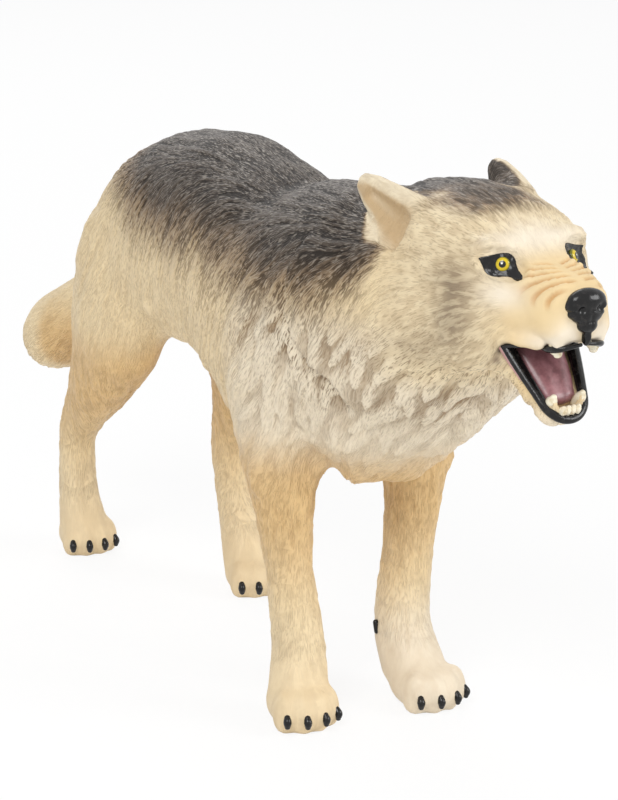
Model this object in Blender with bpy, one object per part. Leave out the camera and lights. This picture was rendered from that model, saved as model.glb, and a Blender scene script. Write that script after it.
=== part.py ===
"""Snarling wolf figurine, moulded in one piece: trunk, fur ruff, open-mouthed head, legs, toed paws, tail.

The wolf looks along -Y, its left side is +X, +Z is up and its soles stand on the plane Z = 0.
Every length is in millimetres and is scaled to metres once, where a form is built.
"""

import math
import random

import bmesh
import bpy
from mathutils import Matrix, Vector
from mathutils.bvhtree import BVHTree

MM = 0.001

# Driving sizes, in millimetres
WITHERS_HEIGHT = 60.6  # top of the shoulders above the floor
SOLE_DEPTH = 0.8  # how far each paw's pad runs under the floor plane before it is cut off flat
BOX_MIDDLE = (1.9, -3.0)  # X and Y of the bounding box's middle, which becomes the origin
HEAD_CENTRE = (5.9, -41.6, 52.6)  # between the ears, where the skull meets the neck
HEAD_YAW = 4.0  # degrees the nose turns to the wolf's left
JAW_GAPE = 47.0  # degrees between the palate and the lower jaw
LIP_WALL = 0.9  # thickness of the lips beside the mouth
EYE = (4.5, 9.3, 3.9)  # an eyeball's middle: to the side, forwards and up from the head's centre
EYE_RADIUS = 1.15
CLAW_RADIUS = 0.5

# How finely each stage of the form is fused; the smallest keeps the ears and teeth
COARSE_VOXEL = 0.75
MIDDLE_VOXEL = 0.45
FINE_VOXEL = 0.28
TRIANGLES = 11850
PLAIN_TRIANGLES = 7400  # of those, for the trunk, legs and tail, before the last thinning
PAW_TOP = 6.0
FACE_START = -39.0  # along Y
CHIN_HEIGHT = 39.0

# Trunk, from the buttocks to the breast: along Y, side shift in X, how far the back lies under the
# withers, depth from back to belly, width
TRUNK = (
    (37.6, 0.0, 18.0, 7.0, 7.0),
    (35.4, 0.0, 13.6, 13.6, 13.0),
    (31.2, 0.0, 9.2, 19.6, 17.2),
    (25.0, 0.0, 4.7, 23.6, 19.6),
    (16.0, 0.0, 1.4, 25.6, 20.2),
    (7.0, 0.0, 0.0, 26.8, 19.6),
    (-2.0, 0.0, 1.2, 28.0, 20.6),
    (-10.0, 0.0, 2.9, 29.8, 22.2),
    (-18.0, 0.4, 1.2, 32.0, 23.4),
    (-25.0, 1.2, 0.0, 32.3, 22.8),
    (-31.0, 2.6, 3.0, 30.4, 21.0),
    (-35.6, 3.7, 8.4, 18.6, 14.4),
)

# Neck with its fur ruff, from inside the shoulders to behind the jaw: centre, half width, rise, drop
NECK = (
    (0.4, -18.0, 46.0, 10.4, 13.4, 15.0),
    (2.0, -26.0, 46.8, 11.4, 13.2, 15.6),
    (4.0, -33.0, 47.8, 11.6, 13.0, 14.6),
    (5.2, -39.0, 49.2, 11.0, 11.8, 10.6),
    (5.9, -44.6, 50.6, 9.2, 9.2, 7.2),
)

TAIL = (
    (0.0, 32.0, 41.0, 3.2, 3.2, 3.2),
    (0.2, 36.4, 38.4, 3.7, 3.5, 3.5),
    (-0.6, 41.0, 34.8, 4.4, 4.1, 4.1),
    (-2.6, 45.8, 30.8, 5.1, 4.7, 4.7),
    (-5.0, 50.6, 27.4, 5.2, 4.9, 4.9),
    (-6.6, 52.6, 24.8, 4.1, 4.0, 4.0),
    (-7.4, 53.6, 23.4, 1.9, 1.9, 1.9),
)

# Legs, from inside the trunk to inside the paw: centre, half width, reach forwards, reach backwards
FRONT_RIGHT_LEG = (
    (-7.0, -17.0, 44.0, 5.0, 8.4, 8.0),
    (-7.6, -19.0, 36.0, 4.7, 6.8, 6.8),
    (-7.8, -20.6, 29.4, 4.0, 4.8, 5.0),
    (-7.5, -21.2, 23.0, 3.1, 3.5, 3.7),
    (-7.1, -21.8, 16.0, 2.6, 2.9, 3.0),
    (-6.6, -22.3, 11.0, 2.9, 2.9, 2.9),
    (-6.5, -22.8, 7.4, 3.1, 3.0, 2.8),
    (-7.1, -23.8, 3.4, 3.4, 3.3, 3.0),
)
FRONT_LEFT_LEG = (
    (7.6, -17.0, 44.0, 5.0, 8.4, 8.0),
    (8.4, -19.0, 36.0, 4.7, 6.8, 6.8),
    (8.9, -20.4, 29.4, 4.0, 4.8, 5.0),
    (8.8, -20.8, 23.0, 3.2, 3.6, 3.7),
    (8.1, -20.8, 16.0, 2.8, 3.0, 3.1),
    (7.6, -20.6, 11.0, 3.1, 3.0, 3.1),
    (7.3, -21.2, 7.4, 3.3, 3.2, 3.1),
    (7.7, -23.4, 3.4, 3.6, 3.6, 3.4),
)
REAR_RIGHT_LEG = (
    (-4.8, 27.5, 46.0, 5.4, 8.6, 6.4),
    (-5.6, 28.0, 38.0, 5.6, 8.6, 7.6),
    (-6.2, 29.6, 31.4, 5.0, 7.6, 7.4),
    (-6.4, 34.0, 25.2, 3.8, 5.0, 5.0),
    (-6.3, 39.8, 19.6, 2.6, 3.4, 3.5),
    (-6.3, 42.8, 15.8, 2.3, 2.6, 2.9),
    (-6.3, 43.0, 10.6, 2.4, 2.5, 2.4),
    (-6.1, 42.8, 6.6, 2.7, 2.7, 2.4),
    (-5.8, 42.6, 3.4, 3.1, 3.0, 2.7),
)
REAR_LEFT_LEG = (
    (4.8, 26.5, 46.0, 5.6, 8.4, 8.4),
    (5.8, 23.0, 38.0, 5.4, 8.4, 8.4),
    (6.8, 20.4, 31.4, 4.8, 7.0, 7.0),
    (7.4, 21.4, 25.2, 3.7, 5.0, 5.0),
    (7.6, 24.8, 19.8, 2.7, 3.5, 3.5),
    (7.6, 26.0, 16.2, 2.4, 2.9, 2.9),
    (7.5, 24.4, 10.8, 2.4, 2.5, 2.5),
    (7.1, 21.6, 6.6, 2.7, 2.7, 2.5),
    (6.9, 19.6, 3.4, 3.0, 3.0, 2.8),
)

# Paws: middle of the sole, degrees the toes turn to the wolf's left, width, length, height of the toes
PAWS = (
    ((-7.5, -25.0), 0.0, 7.6, 8.8, 5.4),
    ((7.9, -25.6), 10.0, 7.8, 9.0, 5.4),
    ((-5.4, 42.9), 0.0, 7.2, 8.0, 5.0),
    ((7.1, 18.4), 0.0, 7.2, 8.0, 5.0),
)
# Toes, as shares of the paw's width and length: across, forwards
TOES = ((-0.36, 0.19), (-0.13, 0.31), (0.13, 0.31), (0.36, 0.19))

# Upper head in its own frame, from the neck to the nose: forwards, up, half width, rise, drop
SKULL = (
    (-10.0, 2.0, 7.2, 7.2, 7.0),
    (-5.0, 2.4, 8.6, 7.5, 8.0),
    (-0.6, 2.6, 9.2, 7.3, 8.4),
    (3.6, 2.2, 9.2, 7.0, 7.8),
    (6.8, 1.4, 8.1, 6.3, 6.4),
    (9.6, 0.6, 6.4, 5.2, 4.9),
    (12.4, 0.2, 5.0, 4.6, 3.9),
    (15.6, 0.2, 4.0, 4.0, 3.6),
    (17.8, 0.1, 3.3, 3.5, 3.2),
    (18.8, 0.0, 2.2, 2.2, 2.2),
)
# Rounded masses on each side of the head: to the side, forwards, up, and radii to the side, along, up
CHEEK = (5.0, 2.4, -2.6, 4.5, 8.6, 5.8)
HEAD_MASSES = (
    (5.9, -0.6, 5.2, 2.8, 5.2, 3.2),  # temple under the ear
    (4.6, 7.5, 5.5, 2.8, 2.4, 1.4),  # brow
    (1.7, 16.4, -0.9, 2.0, 2.2, 2.4),  # upper lip
)

# Lower jaw along its own length, from the hinge: along, half width, rise, drop
JAW_HINGE = (7.4, -2.4)  # forwards and up from the head's centre
JAW = (
    (-2.0, 4.9, 1.4, 6.0),
    (2.4, 4.5, 1.0, 4.8),
    (6.0, 3.8, 0.8, 3.4),
    (8.8, 3.2, 0.7, 2.5),
    (11.0, 2.7, 0.6, 1.9),
    (12.2, 1.9, 0.4, 1.2),
)
TONGUE = (
    (0.0, 2.6, 0.9, 1.6),
    (4.0, 2.5, 0.9, 1.6),
    (7.2, 2.2, 0.8, 1.6),
    (9.2, 1.7, 0.6, 1.4),
    (10.2, 0.9, 0.3, 1.0),
)

# Ears from base to tip, in the head's frame: to the side, back, up, half width, half thickness
EAR_OPENING = (0.9, -0.4, -0.2)  # the way the hollow faces: outwards, back, up
EAR = (
    (5.0, -0.4, 4.6, 3.6, 2.4),
    (6.3, 3.2, 5.9, 3.6, 2.0),
    (7.3, 6.6, 7.2, 3.1, 1.5),
    (8.0, 9.6, 8.7, 2.1, 1.1),
    (8.3, 11.2, 9.6, 1.0, 0.8),
)

# Rows of fur tufts: first and last Y, rows, how far the rays lean forwards, first and last angle
# above the horizontal, tufts to a side, length, width, how far a tuft stands out
TUFTS = (
    (-36.0, -14.0, 6, 0.5, 42.0, -86.0, 6, 8.0, 3.6, 0.7),
    (-34.0, -27.0, 2, 1.6, 0.0, -70.0, 3, 7.6, 3.6, 0.7),
    (-11.0, 19.0, 5, 0.0, -22.0, -84.0, 3, 8.0, 3.4, 0.5),
    (22.0, 34.0, 3, -0.5, 10.0, -50.0, 3, 7.4, 3.4, 0.35),
)
TUFT_SEED = 5
TUFT_SCATTER = 0.35  # how unevenly the tufts lie, as a share of the space between them


def clear_scene():
    """Empties the scene that the script starts in."""
    for thing in list(bpy.data.objects):
        bpy.data.objects.remove(thing)


def bent(value, power):
    """A sine or cosine bent so that a ring turns from an ellipse towards a rounded square."""
    return math.copysign(abs(value) ** power, value)


def add_loft(bm, rings, side=Vector((1, 0, 0)), place=Matrix(), sides=32, power=0.9):
    """Adds a closed tube through rings of (x, y, z, half width, rise, drop), in millimetres.

    Each ring is square to the path. Its width runs along side and its rise along path x side.
    """
    centres = [Vector(ring[:3]) for ring in rings]
    loops = []
    for index, ring in enumerate(rings):
        before = centres[max(index - 1, 0)]
        after = centres[min(index + 1, len(rings) - 1)]
        path = (after - before).normalized()
        across = (side - path * side.dot(path)).normalized()
        upward = path.cross(across)
        half_width, rise, drop = ring[3:]
        loop = []
        for step in range(sides):
            turn = 2 * math.pi * step / sides
            wide = half_width * bent(math.cos(turn), power)
            high = bent(math.sin(turn), power)
            high *= rise if high > 0 else drop
            point = place @ (centres[index] + across * wide + upward * high)
            loop.append(bm.verts.new(point * MM))
        loops.append(loop)
    for first, second in zip(loops, loops[1:]):
        for step in range(sides):
            following = (step + 1) % sides
            bm.faces.new((first[step], first[following], second[following], second[step]))
    bm.faces.new(reversed(loops[0]))
    bm.faces.new(loops[-1])


def add_ball(bm, centre, radii, place=Matrix(), turn=Matrix(), detail=3):
    """Adds an ellipsoid: centre and radii in millimetres, turned in its own frame, then placed."""
    shape = place @ Matrix.Translation(Vector(centre)) @ turn @ Matrix.Diagonal((*radii, 1))
    scaled = Matrix.Scale(MM, 4) @ shape
    bmesh.ops.create_icosphere(bm, subdivisions=detail, radius=1, matrix=scaled)


def solid(name, bm):
    """Makes an object of a bmesh, with its faces pointing out."""
    bmesh.ops.recalc_face_normals(bm, faces=bm.faces)
    mesh = bpy.data.meshes.new(name)
    bm.to_mesh(mesh)
    bm.free()
    body = bpy.data.objects.new(name, mesh)
    bpy.context.collection.objects.link(body)
    return body


def apply_modifiers(body):
    """Keeps the shape that the object's modifiers give, and drops the modifiers."""
    graph = bpy.context.evaluated_depsgraph_get()
    mesh = bpy.data.meshes.new_from_object(body.evaluated_get(graph))
    body.modifiers.clear()
    body.data = mesh


def fuse(body, voxel, rounding):
    """Melts overlapping forms into one skin and rounds the creases between them."""
    remesh = body.modifiers.new("skin", "REMESH")
    remesh.mode = "VOXEL"
    remesh.voxel_size = voxel * MM
    smooth = body.modifiers.new("round", "SMOOTH")
    smooth.factor = 0.5
    smooth.iterations = rounding
    apply_modifiers(body)


def join_into(bm, body):
    """Adds a finished object's mesh to a bmesh, and removes the object."""
    bm.from_mesh(body.data)
    bpy.data.objects.remove(body)


def cut(body, cutter):
    """Takes the cutter's shape out of the body."""
    difference = body.modifiers.new("cut", "BOOLEAN")
    difference.operation = "DIFFERENCE"
    difference.object = cutter
    apply_modifiers(body)
    bpy.data.objects.remove(cutter)


def cut_loft(body, rings, **options):
    bm = bmesh.new()
    add_loft(bm, rings, **options)
    cut(body, solid("cutter", bm))


def head_frame():
    """The head's own frame: X is the wolf's left, -Y is forwards, Z is up, turned with the head."""
    return Matrix.Translation(Vector(HEAD_CENTRE)) @ Matrix.Rotation(math.radians(HEAD_YAW), 4, "Z")


def jaw_frame():
    """The lower jaw's frame, at its hinge, dropped by the gape."""
    forwards, up = JAW_HINGE
    drop = Matrix.Rotation(math.radians(JAW_GAPE), 4, "X")
    return head_frame() @ Matrix.Translation((0, -forwards, up)) @ drop


def trunk_rings():
    rings = []
    for along, shift, sag, depth, width in TRUNK:
        middle = WITHERS_HEIGHT - sag - depth * 0.5
        rings.append((shift, along, middle, width * 0.5, depth * 0.5, depth * 0.5))
    return rings


def skull_rings():
    return [(0, -forwards, up, width, rise, drop) for forwards, up, width, rise, drop in SKULL]


def add_head(bm):
    add_loft(bm, skull_rings(), place=head_frame(), power=0.87)
    jaw = [(0, -forwards, 0, width, rise, drop) for forwards, width, rise, drop in JAW]
    add_loft(bm, jaw, place=jaw_frame(), power=0.85)
    for mass in HEAD_MASSES:
        add_pair(bm, *mass)


def add_pair(bm, side, forwards, up, *radii):
    """A rounded mass on each side of the head."""
    for left in (-1, 1):
        add_ball(bm, (left * side, -forwards, up), radii, head_frame())


def add_face(bm):
    """Eyeballs, nose pad, tongue and teeth."""
    for left in (-1, 1):
        side, forwards, up = EYE
        add_ball(bm, (left * side, -forwards, up), (EYE_RADIUS,) * 3, head_frame())
        add_ball(bm, (left * 2.3, -17.4, -3.1), (0.9, 0.75, 1.1), head_frame())
        add_ball(bm, (left * 1.7, -10.4, 1.1), (0.6, 0.65, 1.0), jaw_frame())
    add_ball(bm, (0, -18.7, 1.9), (2.2, 1.3, 1.5), head_frame())
    add_ball(bm, (0, -18.9, 0.3), (1.3, 0.9, 1.7), head_frame())
    add_ball(bm, (0, -11.6, 0.9), (1.3, 0.6, 0.8), jaw_frame())
    tongue = [(0, -forwards, 0, width, rise, drop) for forwards, width, rise, drop in TONGUE]
    add_loft(bm, tongue, place=jaw_frame(), sides=20)


def open_mouth(body):
    """Hollows a trough in the lower jaw and a recess under the palate."""
    trough = [
        (0, -forwards, 1.0, width - LIP_WALL, 1.0, 2.2) for forwards, width, _, _ in JAW[:5]
    ]
    cut_loft(body, trough, place=jaw_frame(), sides=20)
    palate = [
        (0, -forwards, up - drop - 0.4, width - LIP_WALL * 1.3, 1.6, 1.0)
        for forwards, up, width, _, drop in SKULL[4:9]
    ]
    cut_loft(body, palate, place=head_frame(), sides=20)


def ear_frame(left):
    """An ear's width direction and the way its hollow faces, square to the ear's length."""
    base, tip = (Vector((left * ring[0], ring[1], ring[2])) for ring in (EAR[0], EAR[-1]))
    length = (tip - base).normalized()
    outwards, back, up = EAR_OPENING
    opening = Vector((left * outwards, back, up))
    opening = (opening - length * opening.dot(length)).normalized()
    return length.cross(opening), opening


def ear_rings(left, shrink=0.0, shift=0.0):
    _, opening = ear_frame(left)
    rings = []
    for side, back, up, half_width, half_thickness in EAR:
        centre = Vector((left * side, back, up)) + opening * shift * half_thickness
        rings.append((*centre, half_width - shrink, half_thickness, half_thickness))
    return rings


def add_ears(bm):
    for left in (-1, 1):
        side, _ = ear_frame(left)
        add_loft(bm, ear_rings(left), side=side, place=head_frame(), sides=20, power=1)


def hollow_ears(body):
    for left in (-1, 1):
        side, _ = ear_frame(left)
        rings = ear_rings(left, shrink=0.9, shift=1.3)[1:4]
        cut_loft(body, rings, side=side, place=head_frame(), sides=16, power=1)


def add_paw(bm, centre, turn, width, length, height):
    """One paw: a pad block with four upright toes, the middle two furthest forwards."""
    place = paw_frame(centre, turn)
    block = (height + SOLE_DEPTH) * 0.5
    add_ball(bm, (0, 0.5, block - SOLE_DEPTH), (width * 0.46, length * 0.46, block), place)
    for across, forwards in TOES:
        middle = (across * width, -forwards * length, block * 0.9 - SOLE_DEPTH)
        add_ball(bm, middle, (width * 0.16, length * 0.2, block * 0.85), place)


def add_claws(bm, centre, turn, width, length, height):
    place = paw_frame(centre, turn)
    for across, forwards in TOES:
        middle = (across * width * 1.1, -forwards * length - length * 0.17, height * 0.3)
        add_ball(bm, middle, (CLAW_RADIUS, CLAW_RADIUS * 1.3, CLAW_RADIUS * 1.6), place, detail=2)


def paw_frame(centre, turn):
    return Matrix.Translation((*centre, 0)) @ Matrix.Rotation(math.radians(turn), 4, "Z")


def add_tufts(bm, body):
    """Lays rows of pointed fur tufts on the body, their tips back and down."""
    graph = bpy.context.evaluated_depsgraph_get()
    skin = BVHTree.FromObject(body, graph)
    core = trunk_rings()
    chance = random.Random(TUFT_SEED)
    for first_y, last_y, rows, lean, first_angle, last_angle, count, *size in TUFTS:
        for row in range(rows):
            for index in range(count * 2):
                left = 1 if index % 2 else -1
                scatter_y = chance.uniform(-TUFT_SCATTER, TUFT_SCATTER)
                scatter_angle = chance.uniform(-TUFT_SCATTER, TUFT_SCATTER)
                sway = chance.uniform(-TUFT_SCATTER, TUFT_SCATTER)
                y = first_y + (last_y - first_y) * (row + scatter_y) / (rows - 1)
                share = (index // 2 + 0.5 * (row % 2) + scatter_angle) / count
                angle = math.radians(first_angle + (last_angle - first_angle) * share)
                nearest = min(core, key=lambda ring: abs(ring[1] - y))
                start = Vector((nearest[0], y, nearest[2]))
                ray = Vector((left * math.cos(angle), -lean, math.sin(angle))).normalized()
                hit, normal, _, _ = skin.ray_cast(start * MM, ray)
                if hit is not None:
                    lay_tuft(bm, hit / MM, normal, sway, *size)


def lay_tuft(bm, spot, normal, sway, length, width, stand):
    """One tuft: a long ellipsoid half sunk into the skin, its lower end lifted a little."""
    flow = Vector((0, 0.8 + sway, -0.9 + sway))
    flow = (flow - normal * flow.dot(normal)).normalized()
    flow = (flow + normal * 0.12).normalized()
    across = flow.cross(normal).normalized()
    outward = across.cross(flow)
    turn = Matrix((across, flow, outward)).transposed().to_4x4()
    thickness = stand * 1.6
    middle = spot + normal * (stand - thickness)
    add_ball(bm, middle, (width * 0.5, length * 0.5, thickness), turn=turn, detail=2)


def build_wolf():
    legs = (FRONT_RIGHT_LEG, FRONT_LEFT_LEG, REAR_RIGHT_LEG, REAR_LEFT_LEG)
    bm = bmesh.new()
    add_loft(bm, trunk_rings(), power=0.94)
    add_loft(bm, NECK, power=0.94)
    add_loft(bm, skull_rings()[:5], place=head_frame(), power=0.9)
    add_pair(bm, *CHEEK)
    add_loft(bm, TAIL)
    for leg in legs:
        add_loft(bm, leg)
    body = solid("wolf", bm)
    fuse(body, COARSE_VOXEL, 8)

    bm = bmesh.new()
    add_tufts(bm, body)
    join_into(bm, body)
    for leg in legs:
        add_loft(bm, leg[4:])
    for paw in PAWS:
        add_paw(bm, *paw)
    add_head(bm)
    body = solid("wolf", bm)
    fuse(body, MIDDLE_VOXEL, 4)
    open_mouth(body)

    bm = bmesh.new()
    join_into(bm, body)
    add_ears(bm)
    add_face(bm)
    for paw in PAWS:
        add_claws(bm, *paw)
    body = solid("wolf", bm)
    fuse(body, FINE_VOXEL, 2)
    hollow_ears(body)
    fuse(body, FINE_VOXEL, 1)
    return body


def is_plain(spot):
    """Whether a place on the skin, in metres, is on the trunk, a leg or the tail."""
    _, y, z = spot / MM
    return z > PAW_TOP and (y > FACE_START or z < CHIN_HEIGHT)


def count_triangles(faces):
    return sum(len(face.vertices) - 2 for face in faces)


def thin_plain_skin(body, triangles):
    """Lowers the triangle count where the skin is smooth, away from the head and the paws."""
    inside = {vertex.index for vertex in body.data.vertices if is_plain(vertex.co)}
    area = body.vertex_groups.new(name="plain")
    area.add(list(inside), 1.0, "REPLACE")
    total = count_triangles(body.data.polygons)
    plain = count_triangles(face for face in body.data.polygons if inside.issuperset(face.vertices))
    decimate = body.modifiers.new("thin", "DECIMATE")
    decimate.vertex_group = area.name
    decimate.ratio = (total - plain + triangles) / total
    apply_modifiers(body)
    body.vertex_groups.clear()


def thin_out(body, triangles):
    """Lowers the triangle count where the skin is smooth."""
    decimate = body.modifiers.new("thin", "DECIMATE")
    decimate.ratio = triangles / count_triangles(body.data.polygons)
    apply_modifiers(body)


def flatten_soles(body):
    """Cuts everything under the floor plane off, so that the soles are flat."""
    bm = bmesh.new()
    size = 300.0
    under = Matrix.Translation((0, 0, -size * 0.5 * MM)) @ Matrix.Scale(size * MM, 4)
    bmesh.ops.create_cube(bm, size=1, matrix=under)
    cut(body, solid("floor", bm))


def centre_on_origin(body):
    x, y = BOX_MIDDLE
    body.data.transform(Matrix.Translation((-x * MM, -y * MM, 0)))


def paint(body):
    """One matt painted material over the whole figure, in the middle tone of its fur."""
    material = bpy.data.materials.new("painted_pvc")
    material.use_nodes = True
    shader = material.node_tree.nodes["Principled BSDF"]
    shader.inputs["Base Color"].default_value = (0.56, 0.47, 0.36, 1)
    shader.inputs["Roughness"].default_value = 0.45
    shader.inputs["Metallic"].default_value = 0.0
    body.data.materials.clear()
    body.data.materials.append(material)


def main():
    clear_scene()
    wolf = build_wolf()
    thin_plain_skin(wolf, PLAIN_TRIANGLES)
    thin_out(wolf, TRIANGLES)
    flatten_soles(wolf)
    centre_on_origin(wolf)
    paint(wolf)
    wolf.data.shade_smooth()


main()
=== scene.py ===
# Looks of the snarling wolf figurine: one soft PVC moulding, its carved fur sprayed, washed and
# detailed by hand. The wolf looks along -Y and its left side is +X. Lengths in the dictionaries are millimetres.
import math

import bmesh
import bpy
import numpy as np
from mathutils import Matrix, Vector
from mathutils.bvhtree import BVHTree
from mathutils.kdtree import KDTree


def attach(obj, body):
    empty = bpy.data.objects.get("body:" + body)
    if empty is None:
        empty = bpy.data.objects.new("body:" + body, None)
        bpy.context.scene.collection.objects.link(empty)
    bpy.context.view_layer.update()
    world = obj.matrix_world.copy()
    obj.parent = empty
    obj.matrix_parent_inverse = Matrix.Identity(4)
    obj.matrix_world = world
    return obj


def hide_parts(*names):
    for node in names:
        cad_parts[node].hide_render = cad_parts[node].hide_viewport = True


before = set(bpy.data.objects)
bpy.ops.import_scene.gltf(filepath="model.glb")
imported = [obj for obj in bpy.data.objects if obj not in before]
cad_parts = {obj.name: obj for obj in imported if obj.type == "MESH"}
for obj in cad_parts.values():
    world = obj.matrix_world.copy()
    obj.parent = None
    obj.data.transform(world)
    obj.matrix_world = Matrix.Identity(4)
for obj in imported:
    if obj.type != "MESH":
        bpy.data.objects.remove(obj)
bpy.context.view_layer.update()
mm = 0.001
print("frame loaded")


# small helpers
def toLinear(hexColour):
    # one sRGB hex colour as the linear colour the shader wants
    channels = [int(hexColour[i:i + 2], 16) / 255 for i in (1, 3, 5)]
    linear = [c / 12.92 if c <= 0.04045 else ((c + 0.055) / 1.055) ** 2.4 for c in channels]
    return (*linear, 1.0)


def addNode(tree, kind, settings=None, **inputs):
    # adds a node: settings are its properties, inputs its sockets by name, or by number as i0, i1 ...
    node = tree.nodes.new(kind)
    for name, value in (settings or {}).items():
        setattr(node, name, value)
    for name, value in inputs.items():
        key = int(name[1:]) if name[0] == "i" and name[1:].isdigit() else name.replace("_", " ")
        socket = node.inputs[key]
        if isinstance(value, bpy.types.NodeSocket):
            tree.links.new(value, socket)
        elif isinstance(value, str):
            socket.default_value = toLinear(value)
        else:
            socket.default_value = value
    return node


def newMaterial(name, roughness, ior=1.53):
    material = bpy.data.materials.new(name)
    material.use_nodes = True
    shader = material.node_tree.nodes["Principled BSDF"]
    shader.inputs["Roughness"].default_value = roughness
    shader.inputs["IOR"].default_value = ior
    return material, material.node_tree, shader


def smoothStep(low, high, value):
    t = np.clip((value - low) / (high - low), 0, 1)
    return t * t * (3 - 2 * t)


def hill(points, centre, radii):
    # a soft hill of height 1 round a centre
    away = (points - np.array(centre)) / np.array(radii)
    return np.exp(-(away ** 2).sum(axis=1))


def latticeNoise(x, y, z):
    # smooth noise between -1 and 1, the same on every run
    def corner(i, j, k):
        h = (i * 374761393 + j * 668265263 + k * 2147483647 + 1274126177) & 0xFFFFFFFF
        h = ((h ^ (h >> 13)) * 1274126177) & 0xFFFFFFFF
        return ((h ^ (h >> 16)) & 0xFFFF) / 32767.5 - 1
    cells = [np.floor(a).astype(np.int64) for a in (x, y, z)]
    parts = [a - c for a, c in zip((x, y, z), cells)]
    fades = [p * p * p * (p * (p * 6 - 15) + 10) for p in parts]
    total = 0
    for dx in (0, 1):
        for dy in (0, 1):
            for dz in (0, 1):
                weight = (fades[0] if dx else 1 - fades[0]) * (fades[1] if dy else 1 - fades[1])
                weight = weight * (fades[2] if dz else 1 - fades[2])
                total = total + weight * corner(cells[0] + dx, cells[1] + dy, cells[2] + dz)
    return total


def readVectors(collection, field):
    flat = np.empty(len(collection) * 3, np.float32)
    collection.foreach_get(field, flat)
    return flat.reshape(-1, 3).astype(float)


def setPoints(mesh, points):
    mesh.vertices.foreach_set("co", (points * mm).astype(np.float32).ravel())
    mesh.update()


def keepShape(piece):
    # keeps what the modifiers give, and drops them
    graph = bpy.context.evaluated_depsgraph_get()
    mesh = bpy.data.meshes.new_from_object(piece.evaluated_get(graph))
    piece.modifiers.clear()
    piece.data = mesh


def remeshed(piece, voxel, rounding):
    remesh = piece.modifiers.new("fine", "REMESH")
    remesh.mode = "VOXEL"
    remesh.voxel_size = voxel * mm
    smooth = piece.modifiers.new("round", "SMOOTH")
    smooth.factor = 0.5
    smooth.iterations = rounding
    keepShape(piece)


def addPiece(name, bm, material):
    # a mesh as a piece of the wolf
    bmesh.ops.recalc_face_normals(bm, faces=bm.faces)
    mesh = bpy.data.meshes.new(name)
    bm.to_mesh(mesh)
    bm.free()
    piece = bpy.data.objects.new(name, mesh)
    bpy.context.scene.collection.objects.link(piece)
    dress(piece, material)
    return piece


def dress(piece, material):
    piece.data.materials.clear()
    piece.data.materials.append(material)
    piece.data.shade_smooth()
    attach(piece, "root")


# camera, lamps and floor
camera = {
    "place": (-155.54, -323.65, 130.64),
    "tilt": 74.42, "turn": -26.03,  # degrees: up from straight down, and round the vertical
    "lens": 144.885, "filmHeight": 36.0,  # on a 618 x 800 image
}
lensData = bpy.data.cameras.new("camera")
lensData.sensor_fit = "VERTICAL"
lensData.sensor_height = camera["filmHeight"]
lensData.lens = camera["lens"]
lensData.clip_start = 0.01
eyePoint = bpy.data.objects.new("camera", lensData)
eyePoint.location = Vector(camera["place"]) * mm
eyePoint.rotation_euler = (math.radians(camera["tilt"]), 0, math.radians(camera["turn"]))
bpy.context.scene.collection.objects.link(eyePoint)
bpy.context.scene.camera = eyePoint
bpy.context.scene.view_settings.view_transform = "Standard"

studio = {
    "key": ((-300, -300, 420), 260, 1.6),  # place, width, watts
    "fill": ((340, -330, 240), 220, 1.0),
    "rim": ((60, 420, 380), 300, 0.75),
    "sky": "#fbfcff", "skyStrength": 0.48,
    "floor": "#fbfbfa", "floorRadius": 3000,
    "floorWhite": 0.86,  # how much of the floor's shadow is washed out towards white
}
for lampName in ("key", "fill", "rim"):
    place, width, watts = studio[lampName]
    lampData = bpy.data.lights.new(lampName, "AREA")
    lampData.size = width * mm
    lampData.energy = watts
    lamp = bpy.data.objects.new(lampName, lampData)
    lamp.location = Vector(place) * mm
    lamp.rotation_euler = (Vector((0, 0, 25)) - Vector(place)).to_track_quat("-Z", "Y").to_euler()
    bpy.context.scene.collection.objects.link(lamp)


def showWhite(tree, shader, output, kind, share):
    # camera and mirror-like rays see mostly plain white, every other ray sees the lit shader
    path = addNode(tree, "ShaderNodeLightPath")
    seen = addNode(tree, "ShaderNodeMath", {"operation": "MAXIMUM"},
                   i0=path.outputs["Is Camera Ray"], i1=path.outputs["Is Glossy Ray"])
    seen = addNode(tree, "ShaderNodeMath", {"operation": "MAXIMUM"},
                   i0=seen.outputs[0], i1=path.outputs["Is Transmission Ray"])
    seen = addNode(tree, "ShaderNodeMath", {"operation": "MULTIPLY"}, i0=seen.outputs[0], i1=share)
    white = addNode(tree, kind, Color="#ffffff", Strength=1.0)
    mix = addNode(tree, "ShaderNodeMixShader", i0=seen.outputs[0], i1=shader, i2=white.outputs[0])
    tree.links.new(mix.outputs[0], output)


world = bpy.data.worlds.new("studio")
world.use_nodes = True
bpy.context.scene.world = world
sky = world.node_tree.nodes["Background"]
sky.inputs["Color"].default_value = toLinear(studio["sky"])
sky.inputs["Strength"].default_value = studio["skyStrength"]
showWhite(world.node_tree, sky.outputs[0], world.node_tree.nodes["World Output"].inputs["Surface"],
          "ShaderNodeBackground", 1.0)

bm = bmesh.new()
bmesh.ops.create_circle(bm, cap_ends=True, segments=96, radius=studio["floorRadius"] * mm)
floorMesh = bpy.data.meshes.new("floor")
bm.to_mesh(floorMesh)
bm.free()
floorMaterial, floorTree, floorShader = newMaterial("matte_paper_sweep", 0.9)
floorShader.inputs["Base Color"].default_value = toLinear(studio["floor"])
showWhite(floorTree, floorShader.outputs[0], floorTree.nodes["Material Output"].inputs["Surface"],
          "ShaderNodeEmission", studio["floorWhite"])
floor = bpy.data.objects.new("floor", floorMesh)
bpy.context.scene.collection.objects.link(floor)
floorMesh.materials.append(floorMaterial)
print("camera, lamps and floor")

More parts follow.
